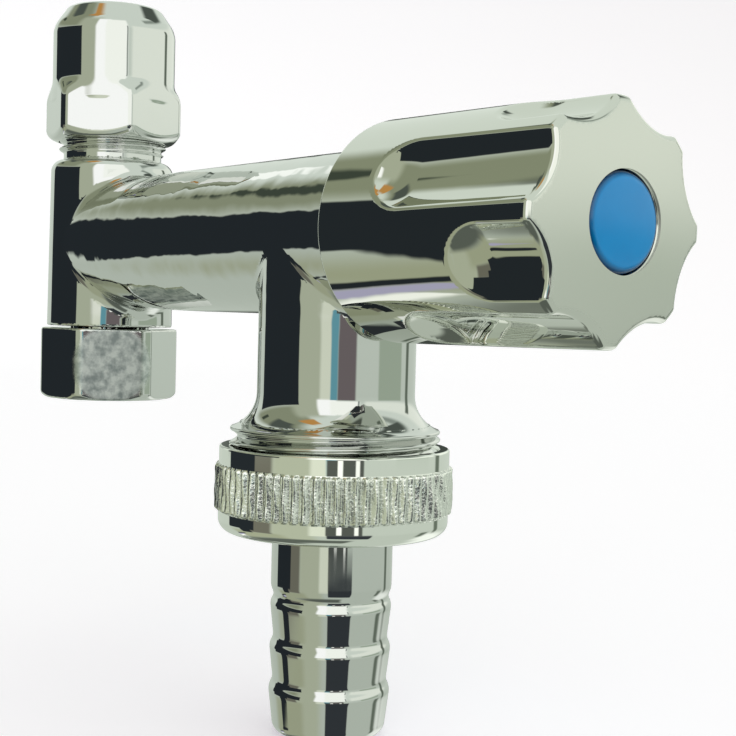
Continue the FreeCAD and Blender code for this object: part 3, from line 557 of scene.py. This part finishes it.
CHROME_CAST = polished_cast_chrome()
CHROME_KNOB = die_cast_chrome()
CHROME_TURNED = turned_chrome()
CHROME_TUMBLED = tumbled_chrome()
CHROME_KNURLED = knurled_chrome()
BLUE_ABS = moulded_blue()
FINISHES = {
    "chrome_cast": CHROME_CAST,
    "chrome_nut": CHROME_TURNED,
    "chrome_knurled": CHROME_KNURLED,
    "chrome_tail": CHROME_TURNED,
    "chrome_handle": CHROME_KNOB,
    "blue_cap": BLUE_ABS,
    # Dark grey with a dull sheen
    "spring_steel": plain("blued_spring_steel", "#5b5c5d", "#77787a", 0.8, 0.35, metallic=1.0),
    # Pale grey and a little yellow
    "plated_screw": plain("zinc_plated_steel", "#a9aba6", "#c8c8c0", 0.6, 0.3, metallic=1.0),
    # Warm yellow and fairly bright
    "brass_turned": plain("turned_brass", "#b08d45", "#c9a75c", 1.2, 0.24, metallic=1.0),
    # Brick red and quite matt
    "gasket_fibre": plain("pressed_red_fibre", "#6d2a20", "#8a3a2c", 0.5, 0.8),
    # Nearly black with a soft bloom
    "black_rubber": plain("moulded_nitrile_rubber", "#161617", "#222223", 0.4, 0.55),
}


# Hexagon nuts

def hexagon(r, turn, facing, radius):
    """Distance inside six flats, one of which faces a given angle."""
    away = np.mod(turn - math.radians(facing) + math.pi / 6, math.pi / 3) - math.pi / 6
    flats = [r * np.cos(away + side * math.pi / 3) - NUT_FLATS / 2 for side in (-1, 0, 1)]
    return rounded(flats, radius)


def inlet_nut_shape(r, turn, z):
    """Short hexagon with worn corners, a wide chamfer at its foot and a narrow one at its top."""
    low, high = INLET_NUT
    foot_width, foot_height = 1.19, 1.0
    top_width, top_height = 0.4, 0.33
    foot = slope(r, z, start=(NUT_CORNER - foot_width, low), end=(NUT_CORNER, low + foot_height))
    top = slope(r, z, start=(NUT_CORNER, high - top_height), end=(NUT_CORNER - top_width, high))
    chamfers = rounded([foot, top], radius=0.1)
    ends = rounded([low - z, z - high], radius=0.1)
    return rounded([hexagon(r, turn, INLET_FACING, radius=1.1), chamfers, ends], radius=0.3)


def compression_nut_shape(r, turn, z):
    """Hexagon that runs up into a round shank, which ends in a cone."""
    low, neck, shank_top, top = COMPRESSION_NUT
    shank = NUT_FLATS / 2 - 0.05
    foot_width, foot_height = 2.03, 1.5
    shoulder_height, shank_depth, cone_end = 2.2, 3.0, 7.15
    foot = slope(r, z, start=(NUT_CORNER - foot_width, low), end=(NUT_CORNER, low + foot_height))
    shoulder = slope(r, z, start=(NUT_CORNER, neck - shoulder_height), end=(shank, neck))
    blank = rounded([foot, shoulder, z - neck - 1.0], radius=0.25)
    flats = hexagon(r, turn, COMPRESSION_FACING, radius=0.8)
    lower = rounded([flats, blank, low - z], radius=0.6)
    cone = slope(r, z, start=(shank, shank_top), end=(cone_end, top))
    upper = rounded([r - shank, cone], radius=0.6)
    upper = rounded([upper, z - top, neck - shank_depth - z], radius=0.5)
    return joined(lower, upper, radius=0.35)


def make_inlet_nut():
    """Captive nut, with the recess over its spigot and its inner thread."""
    low, high = INLET_NUT
    recess, recess_top = 7.9, 3.6
    thread_top, thread_depth = -0.1, 0.8
    foot_fade, top_fade = 0.8, 0.6
    rays = fan(cores=(8.7, 6.5), low=low + 2.0, high=high - 2.5, holes=(NUT_BORE, INLET_HOLE),
               step=0.25)
    outer, facing = skin(rays, HEXAGON_POINTS, inlet_nut_shape)
    inner = plain_rings([
        (INLET_HOLE, recess_top), (recess, recess_top), (recess, 0.0), (NUT_BORE, 0.0),
    ], HEXAGON_POINTS)
    turn = angles(HEXAGON_POINTS)
    z = thread_top + (low - thread_top) * np.arange(0, 0.99, 0.02)[:, None]
    fade = np.clip((z - low) / foot_fade, 0, 1) * np.clip(-z / top_fade, 0, 1)
    crest = 0.5 + 0.5 * np.cos(2 * math.pi * z / PITCH_38 - turn)
    thread = rings(NUT_BORE - thread_depth * crest * fade, turn, z)
    points = np.concatenate([outer, inner, thread])
    piece("inlet_nut", points, "inlet_nut", CHROME_TUMBLED, "inlet_union_nut",
          facing=facing)


def make_compression_nut():
    """Long nut with the pipe's hole, the cone that presses the olive and a plain bore."""
    low, _, _, top = COMPRESSION_NUT
    cone, cone_top, cone_foot = 6.55, 49.3, 46.4
    relief, bore_top = 6.6, 45.8
    rays = fan(cores=(8.7, 5.5), low=low + 3.0, high=top - 4.0, holes=(NUT_BORE, PIPE_HOLE),
               step=0.22)
    outer, facing = skin(rays, HEXAGON_POINTS, compression_nut_shape)
    inner = plain_rings([
        (PIPE_HOLE, 51.0), (PIPE_HOLE, cone_top), (cone, cone_foot), (relief, bore_top),
        (NUT_BORE, bore_top), (NUT_BORE, low + 0.6),
    ], HEXAGON_POINTS)
    points = np.concatenate([outer, inner])
    piece("compression_nut_top", points, "top_nut", CHROME_TURNED, "compression_nut",
          facing=facing)


# Outlet nut and tail

def outlet_nut_shape(r, turn, z):
    """Round nut with a belt of straight ribs, which stand a little unevenly."""
    low, high = OUTLET_NUT
    band = rounded([r - BAND_RADIUS, low - z], radius=1.6)
    band = rounded([band, z - high], radius=0.3)
    rib_height, uneven = 0.47, 0.08
    drift = 0.5 * np.sin(11 * turn)
    rib = 0.5 - 0.5 * np.cos(KNURL_RIBS * turn + drift)
    stand = rib_height + uneven * np.sin(23 * turn + 1.3 * z)
    ribs = rounded([r - BAND_RADIUS - stand * rib ** 0.7, KNURL[0] - z, z - KNURL[1]], radius=0.35)
    return np.minimum(band, ribs)


def make_outlet_nut():
    """Union nut with its bore and the floor that carries the tail's collar."""
    low, high = OUTLET_NUT
    count = KNURL_RIBS * RIB_POINTS
    rays = fan(cores=(11.0, 13.6), low=low + 2.4, high=high - 1.0,
               holes=(OUTLET_NUT_HOLE, OUTLET_NUT_BORE), step=0.2)
    outer, facing = skin(rays, count, outlet_nut_shape)
    inner = plain_rings([
        (OUTLET_NUT_BORE, high - 0.5), (OUTLET_NUT_BORE, OUTLET_NUT_FLOOR),
        (OUTLET_NUT_HOLE, OUTLET_NUT_FLOOR),
    ], count)
    points = at_outlet(np.concatenate([outer, inner]))
    piece("outlet_nut_knurled", points, "outlet_nut", CHROME_KNURLED,
          "outlet_union_nut", facing=facing)


def make_tail():
    """Hose tail with its collar, three soft barbs and a rounded end."""
    foot, top = TAIL_SHANK_ENDS
    outline = [
        (TAIL_BORE, TAIL_COLLAR_TOP), (TAIL_COLLAR, TAIL_COLLAR_TOP), (TAIL_COLLAR, OUTLET_NUT_FLOOR),
        (TAIL_NECK, OUTLET_NUT_FLOOR), (TAIL_NECK, top), (TAIL_SHANK, top), (TAIL_SHANK, foot),
    ]
    for number in range(BARBS):
        z = foot - number * BARB_PITCH
        outline += [(TAIL_LAND, z - BARB_RISE), (BARB_RADIUS, z - 2 * BARB_RISE)]
    outline = softened(outline + [(TAIL_LAND, TAIL_END)], radius=0.5)
    curve = TAIL_END_ROUND
    end = [
        (TAIL_LAND - curve + curve * math.cos(a), TAIL_END + curve - curve * math.sin(a))
        for a in np.linspace(0, math.pi / 2, 12)
    ]
    outline = [p for p in outline if p[1] > TAIL_END + curve + 0.05] + end + [(TAIL_BORE, TAIL_END)]
    points = at_outlet(plain_rings(closer(outline, gap=0.3), ROUND_POINTS))
    piece("tail", points, "tail", CHROME_TURNED, "hose_tail", inward=True)


# Handle and cap

def handle_shape(r, turn, z):
    """Tapered knob with a slightly domed face, and flutes in two lengths that end in round bowls."""
    back, face = HANDLE
    curve = crown(HANDLE_RADII[1], FACE_RISE)
    dome = np.hypot(r, z - (face + FACE_RISE - curve)) - curve
    taper = slope(r, z, start=(HANDLE_RADII[0], back), end=(HANDLE_RADII[1], face))
    shape = rounded([taper, back - z], radius=0.5)
    axis = FLUTE_FLOOR + FLUTE_RADIUS
    bowl = math.sqrt(FLUTE_RADIUS ** 2 - (axis - FLUTE_RIM) ** 2)
    for number in range(FLUTES):
        away = turn - math.radians(FLUTE_TURN + number * 360 / FLUTES)
        nose = face - FLUTE_LENGTHS[number % 2] + bowl
        side = np.hypot(r * np.cos(away) - axis, r * np.sin(away))
        flute = FLUTE_RADIUS - np.hypot(side, np.minimum(z - nose, 0))
        shape = rounded([shape, flute], radius=0.28)
    return rounded([shape, dome], radius=0.75)


def make_handle():
    """Knob with the seat of its cap, the screw's hole, the spindle's socket and the hollow skirt."""
    back, face = HANDLE
    screw_hole = 1.7
    socket, socket_top = 3.55, 101.9
    boss, boss_end = 6.2, 93.2
    hollow, hollow_top = 9.95, 102.1
    skirt, skirt_top = 11.2, 81.15
    rays = fan(cores=(11.6, 6.0), low=back + 1.2, high=face - 4.0, holes=(skirt, CAP_HOLE), step=0.36)
    outer, facing = skin(rays, HANDLE_POINTS, handle_shape)
    inner = plain_rings([
        (CAP_HOLE, face + 0.1), (CAP_HOLE, CAP_SEAT), (screw_hole, CAP_SEAT), (screw_hole, socket_top),
        (socket, socket_top), (socket, boss_end), (boss, boss_end), (boss, hollow_top),
        (hollow, hollow_top), (hollow, skirt_top), (skirt, skirt_top), (skirt, back + 0.6),
    ], HANDLE_POINTS)
    points = along_x(np.concatenate([outer, inner]))
    piece("knob", points, "knob", CHROME_KNOB, "handle", inward=True,
          facing=facing[..., ::-1])


def rounded_edge(radius, dome, top, soft):
    """Arc of (radius, height) points that rounds the edge between a round side and a domed top."""
    r = radius - soft
    z = top - dome + math.sqrt((dome - soft) ** 2 - r ** 2)
    end = math.pi / 2 - math.asin(r / (dome - soft))
    return [(r + soft * math.cos(a), z + soft * math.sin(a)) for a in np.linspace(0, end, 12)]


def make_cap():
    """Push-in cap with a shallow dome and a softly rounded edge, sunk a little under the face."""
    dome = crown(CAP_RADIUS, CAP_RISE)
    face = crown(HANDLE_RADII[1], FACE_RISE)
    rim = HANDLE[1] + FACE_RISE - face + math.sqrt(face ** 2 - CAP_RADIUS ** 2)
    top = rim - CAP_SINK + CAP_RISE
    edge = rounded_edge(CAP_RADIUS, dome, top, CAP_EDGE)
    radii = np.linspace(edge[-1][0], 0.0, 14)[1:]
    outline = [(0.0, CAP_SEAT), (CAP_RADIUS, CAP_SEAT)] + edge
    outline += [(r, top - dome + math.sqrt(dome ** 2 - r ** 2)) for r in radii]
    points = along_x(plain_rings(outline, CAP_POINTS))
    made = piece("cap", points, "knob", BLUE_ABS, "index_cap", closed=False, inward=True)
    weld(made.data)


# Body

def flare(z):
    """Radius of the outlet's neck, which widens in a hollow curve above its thread."""
    drop = np.clip(FLARE_TOP - z, 0, FLARE_DROP)
    return NECK_RADIUS + FLARE_CURVE - np.sqrt(FLARE_CURVE ** 2 - drop ** 2)


def body_shape(x, y, z):
    """The casting: tee barrel, run and outlet neck blended by the polishing wheel, with its bores."""
    tee = np.hypot(x, y)
    run = np.hypot(y, z - RUN_Z)
    neck = np.hypot(x - OUTLET_X, y)

    foot, top = BARREL
    barrel = slope(tee, z, start=(BARREL_RADII[0], foot), end=(BARREL_RADII[1], top))
    barrel = rounded([barrel, z - top], radius=1.8)
    barrel = rounded([barrel, foot - z], radius=0.25)
    bow = crown(RUN_SWELL, RUN_SAG)
    waist = RUN_RADIUS - bow + np.sqrt(bow ** 2 - np.clip(RUN_SWELL - x, 0, RUN_SWELL) ** 2)
    pipe = rounded([run - waist, -x, x - RUN_END], radius=0.3)

    # The neck sinks under the shoulder that the outlet's thread carries.
    sink, sink_height, neck_end = 0.3, 0.8, -5.6
    inset = sink * np.clip((SHOULDER_TOP - z) / sink_height, 0, 1)
    outlet = rounded([neck - flare(z) + inset, neck_end - z], radius=0.2)
    outlet = np.maximum(outlet, z - RUN_Z)

    # The fillets die out at the sides, where both walls face the same way.
    aslant = 1 - np.clip(y ** 2 / np.maximum(run * tee, 1), 0, 1)
    solid = joined(barrel, pipe, radius=2.2 * aslant)
    aslant = 1 - np.clip(y ** 2 / np.maximum(run * neck, 1), 0, 1)
    solid = joined(solid, outlet, radius=1.8 * aslant)

    for wall, (foot, top) in (
        (tee - INLET_SPIGOT, INLET_SPIGOT_ENDS),
        (tee - TOP_SPIGOT, TOP_SPIGOT_ENDS),
        (neck - OUTLET_SPIGOT, OUTLET_SPIGOT_ENDS),
    ):
        solid = np.minimum(solid, np.maximum(wall, np.maximum(foot - z, z - top)))

    seat = OLIVE_SEAT - OLIVE_SEAT_TAPER * (TOP_SPIGOT_ENDS[1] - z)
    tee_bore = np.where(z < PIPE_SOCKET_FLOOR, TEE_BORE, np.maximum(PIPE_SOCKET, seat))
    run_bore = np.where(x < CHAMBER_X, RUN_BORE, np.where(x < BONNET_X, CHAMBER, BONNET_BORE))
    bores = np.minimum(tee - tee_bore, np.maximum(run - run_bore, -x))
    bores = np.minimum(bores, np.maximum(neck - OUTLET_BORE, z - RUN_Z))
    return np.maximum(solid, -bores)


def make_body():
    """Skin the casting on a grid, then settle each point on the shape and give it the shape's own
    slope."""
    low, high = np.array(BODY_BOX)
    counts = np.ceil((high - low) / BODY_CELL).astype(int)
    axes = [start + BODY_CELL * np.arange(count) for start, count in zip(low, counts)]
    field = body_shape(*np.meshgrid(*axes, indexing="ij", sparse=True))
    volume = openvdb.FloatGrid(1.0)
    volume.copyFromArray(np.clip(field, -1, 1).astype(np.float32))
    points, quads = volume.convertToQuads(isovalue=0.0)
    points = points * BODY_CELL + low
    for _ in range(4):
        here = body_shape(*points.T)
        slopes = np.stack([
            (body_shape(*(points + step).T) - body_shape(*(points - step).T)) / (2 * SLOPE_STEP)
            for step in SLOPE_STEP * np.eye(3)
        ], axis=-1)
        size = np.maximum(np.linalg.norm(slopes, axis=-1, keepdims=True), 0.3)
        points = points - np.clip(here, -0.2, 0.2)[:, None] * slopes / size ** 2
    show("body_casting", points, quads, "body", CHROME_CAST, "valve_body", slopes / size)


def make_thread(name, radius, depth, pitch, foot, low, high, place, shoulder=()):
    """Turns of a pipe thread round a spigot, which sink to its root at both ends. The root goes on
    down to the foot, and a shoulder of (radius, height) points can stand above."""
    rows_per_turn = 14
    fade = 0.4 * pitch
    turn = angles(ROUND_POINTS)
    z = np.arange(foot, high, pitch / rows_per_turn)[:, None]
    run_out = 1 - np.clip((high - z) / fade, 0, 1) * np.clip((z - low) / fade, 0, 1)
    groove = (0.5 - 0.5 * np.cos(2 * math.pi * z / pitch - turn)) ** 0.8
    points = rings(radius - depth * np.maximum(groove, run_out), turn, z)
    if shoulder:
        points = np.concatenate([points, plain_rings(shoulder, ROUND_POINTS)])
    piece(name, place(points), "body", CHROME_TURNED, None, closed=False)


def outlet_shoulder():
    """Hollow curve above the outlet's thread, with the rounded bead that ends it. Its upper end
    dips into the neck."""
    bead, bead_middle, bead_height, bead_turn = 0.25, 12.9, -6.05, 2.6
    hollow_foot, dip = -5.78, 0.008
    foot = bead_height - bead
    outline = [(12.2, foot), (12.5, foot)]
    outline += [
        (bead_middle + bead * math.sin(a), bead_height - bead * math.cos(a))
        for a in np.linspace(0, bead_turn, 14)
    ]
    outline += [(float(flare(z)), z) for z in np.linspace(hollow_foot, SHOULDER_TOP, 40)]
    upper = np.linspace(-2.5, 1.5, 16)
    return outline + [(float(flare(z)) - dip * (z - SHOULDER_TOP), z) for z in upper]


# Stage, light and camera

def sweep():
    """Round pale floor of matt paper that curves up into a backdrop on every side, while the chrome
    mirrors the studio instead. Its sizes are in metres, and its gap under the tail in millimetres."""
    middle, flat, bend, wall = 0.3, 0.9, 0.5, 2.5
    count = 96
    gap = 0.2
    outline = [(middle, 0.0), (flat, 0.0)]
    outline += [
        (flat + bend * math.sin(a), bend - bend * math.cos(a))
        for a in np.linspace(0.1, math.pi / 2, 16)
    ]
    outline += [(flat + bend, wall)]
    points = plain_rings(outline, count) + np.array([OUTLET_X, 0.0, TAIL_END - gap]) * MM
    faces = [tuple(range(count))]
    for row in range(len(outline) - 1):
        low, high = row * count, (row + 1) * count
        for i in range(count):
            after = (i + 1) % count
            faces.append((low + i, high + i, high + after, low + after))
    mesh = bpy.data.meshes.new("sweep")
    mesh.from_pydata(points.reshape(-1, 3).tolist(), [], faces)
    mesh.shade_smooth()
    floor = bpy.data.objects.new("sweep", mesh)
    bpy.context.scene.collection.objects.link(floor)
    material, _, shader, _ = surface("matt_white_paper")
    shader.inputs["Base Color"].default_value = linear("#f4f4f2")
    shader.inputs["Roughness"].default_value = 0.9
    shader.inputs["Emission Color"].default_value = linear("#f3e7ff")
    shader.inputs["Emission Strength"].default_value = 0.41
    mesh.materials.append(material)
    floor.visible_glossy = False
    floor.visible_diffuse = False
    floor.visible_shadow = False


# Cards on the studio's walls: middle and half size as (azimuth, elevation) in degrees round the
# valve, azimuth counted from +X towards +Y, then the soft edge and the shade. A later card lies
# over the earlier ones.
CARDS = (
    # Behind the valve
    ((80, 44), (40, 5), 4, "#858e86"),
    ((96, 50), (20, 9), 3, "#4b524c"),
    ((165, -49), (20, 6.5), 3, "#6f756c"),
    ((-165, -49), (20, 6.5), 3, "#6f756c"),
    ((65, 15), (60, 10), 4, "#dfe4da"),
    ((67, -23), (6, 9), 3, "#5f685d"),
    ((86, -2), (4, 22), 2, "#5f685d"),
    ((142, -2), (7, 19), 2.5, "#3a403b"),
    ((48, -1.5), (22, 3.5), 2, "#97a393"),
    # Beside it, above and below
    ((-130, 44), (44, 26), 7, "#848a74"),
    ((-158, 53), (18, 9), 3, "#4b524c"),
    ((-98, 67), (18, 8), 3, "#b7864a"),
    ((-79, -4), (24, 56), 9, "#a6ac98"),
    ((-125, -34), (35, 15), 8, "#999e86"),
    ((-120, -13), (20, 9), 3, "#68675c"),
    ((-92, -62), (80, 14), 6, "#565c55"),
    # Narrow strips that line the handle
    ((167, -38.5), (6, 4), 1, "#3a413c"),
    ((-155, -32.3), (9, 1.4), 0.6, "#22272b"),
    ((-161, -35.5), (8, 1.6), 0.8, "#a3a0ba"),
    ((-168, -38.4), (7, 1.3), 0.8, "#f2f4ee"),
    ((-176, -40.2), (3, 1.6), 0.6, "#22272b"),
    ((-161, 31.5), (7, 2.5), 1.2, "#3c443a"),
    ((173, 33), (5, 3), 1.2, "#f8fbf6"),
    # Dark doorway
    ((-135, -13.5), (8, 12.5), 0.8, "#22272b"),
    ((-141, -7), (20, 6), 0.8, "#22272b"),
    ((-129, 6), (37, 11.5), 0.8, "#22272b"),
    # Bright window and what stands before it
    ((-50, -5), (10, 9), 3, "#cdd2c1"),
    ((-50, 25), (14, 23), 3, "#ffffff"),
    ((-24, 26), (21, 21), 3, "#f8faf4"),
    ((-4, 14), (1.2, 10), 0.8, "#8a918c"),
    ((-22, -2), (13, 4.5), 2, "#675f61"),
    ((-40, -2), (5, 4.5), 1.5, "#5f93a0"),
    ((-26, -8), (18, 3), 1, "#4f534e"),
    ((-31, -7.5), (2.5, 2.5), 0.8, "#f6f8f2"),
    ((-14, -8), (2, 2.5), 0.8, "#eef0ea"),
    ((-20.5, -23), (22.5, 12.5), 1.2, "#303438"),
    # Pale floor behind
    ((100, -33), (26, 12), 8, "#e6eae4"),
)


def card(tree, walls, place, middle, half, soft, shade):
    """Lay one soft-edged card over the walls."""
    masks = []
    for i in range(2):
        off = add(tree, "ShaderNodeMath", {
            0: place[i], 1: math.radians(middle[i]),
        }, operation="SUBTRACT")
        far = add(tree, "ShaderNodeMath", {0: off.outputs[0]}, operation="ABSOLUTE")
        masks.append(add(tree, "ShaderNodeMapRange", {
            "Value": far.outputs[0],
            "From Min": math.radians(half[i] - soft),
            "From Max": math.radians(half[i] + soft),
            "To Min": 1.0,
            "To Max": 0.0,
        }, interpolation_type="SMOOTHSTEP").outputs["Result"])
    both = add(tree, "ShaderNodeMath", {0: masks[0], 1: masks[1]}, operation="MULTIPLY")
    mixed = add(tree, "ShaderNodeMix", {
        0: both.outputs[0], COLOUR_A: walls, COLOUR_B: linear(shade),
    }, data_type="RGBA")
    return mixed.outputs[COLOUR_OUT]


def studio():
    """Walls that the chrome mirrors and that light the valve: pale all round, a little darker below,
    and hung with the cards."""
    made = bpy.data.worlds.new("studio")
    bpy.context.scene.world = made
    made.use_nodes = True
    tree = made.node_tree
    way = add(tree, "ShaderNodeTexCoord", {}).outputs["Generated"]
    axes = add(tree, "ShaderNodeSeparateXYZ", {"Vector": way})
    azimuth = add(tree, "ShaderNodeMath", {
        0: axes.outputs["Y"], 1: axes.outputs["X"],
    }, operation="ARCTAN2")
    elevation = add(tree, "ShaderNodeMath", {0: axes.outputs["Z"]}, operation="ARCSINE")
    place = (azimuth.outputs[0], elevation.outputs[0])
    dark_below, pale_above = -0.25, 0.35
    rise = add(tree, "ShaderNodeMapRange", {
        "Value": axes.outputs["Z"], "From Min": dark_below, "From Max": pale_above,
    })
    base = add(tree, "ShaderNodeMix", {
        0: rise.outputs["Result"], COLOUR_A: linear("#aeb6ac"), COLOUR_B: linear("#ccd4cb"),
    }, data_type="RGBA")
    walls = base.outputs[COLOUR_OUT]
    for middle, half, soft, shade in CARDS:
        walls = card(tree, walls, place, middle, half, soft, shade)
    back = tree.nodes["Background"]
    tree.links.new(walls, back.inputs["Color"])
    back.inputs["Strength"].default_value = 1.3


def camera():
    """Camera where the photograph was taken from, fitted to the outlines."""
    target = Vector((66.590, 0.0, 1.960)) * MM
    distance = 169.053 * MM
    azimuth, elevation, roll = (math.radians(a) for a in (51.688, 2.374, 1.474))
    focal_pixels, picture_pixels = 1388.774, 736
    back = Vector((
        math.sin(azimuth) * math.cos(elevation),
        -math.cos(azimuth) * math.cos(elevation),
        math.sin(elevation),
    ))
    level = (-back).cross(Vector((0, 0, 1))).normalized()
    upright = level.cross(-back)
    right = level * math.cos(roll) + upright * math.sin(roll)
    up = upright * math.cos(roll) - level * math.sin(roll)
    lens = bpy.data.cameras.new("camera")
    lens.sensor_width = 36.0
    lens.lens = lens.sensor_width * focal_pixels / picture_pixels
    lens.clip_start = 0.01
    made = bpy.data.objects.new("camera", lens)
    bpy.context.scene.collection.objects.link(made)
    axes = Matrix((right, up, back)).transposed().to_4x4()
    made.matrix_world = Matrix.Translation(target + back * distance) @ axes
    bpy.context.scene.camera = made


# Build the pieces, then the stage

make_inlet_nut()
make_compression_nut()
make_outlet_nut()
make_tail()
make_handle()
make_cap()
make_body()
make_thread("outlet_thread", THREAD_34, depth=1.0, pitch=PITCH_34, foot=OUTLET_SPIGOT_ENDS[0],
            low=OUTLET_SPIGOT_ENDS[0], high=-6.2, place=at_outlet, shoulder=outlet_shoulder())
make_thread("spigot_thread", THREAD_38, depth=0.75, pitch=PITCH_38, foot=31.0, low=32.3, high=41.6,
            place=np.asarray)
for part in frame["record"]["subparts"]:
    shown = frame["nodes"][part["node"]].data
    shown.materials.clear()
    shown.materials.append(FINISHES[part["material_slot"]])
sweep()
studio()
bpy.context.scene.view_settings.view_transform = "Standard"
camera()
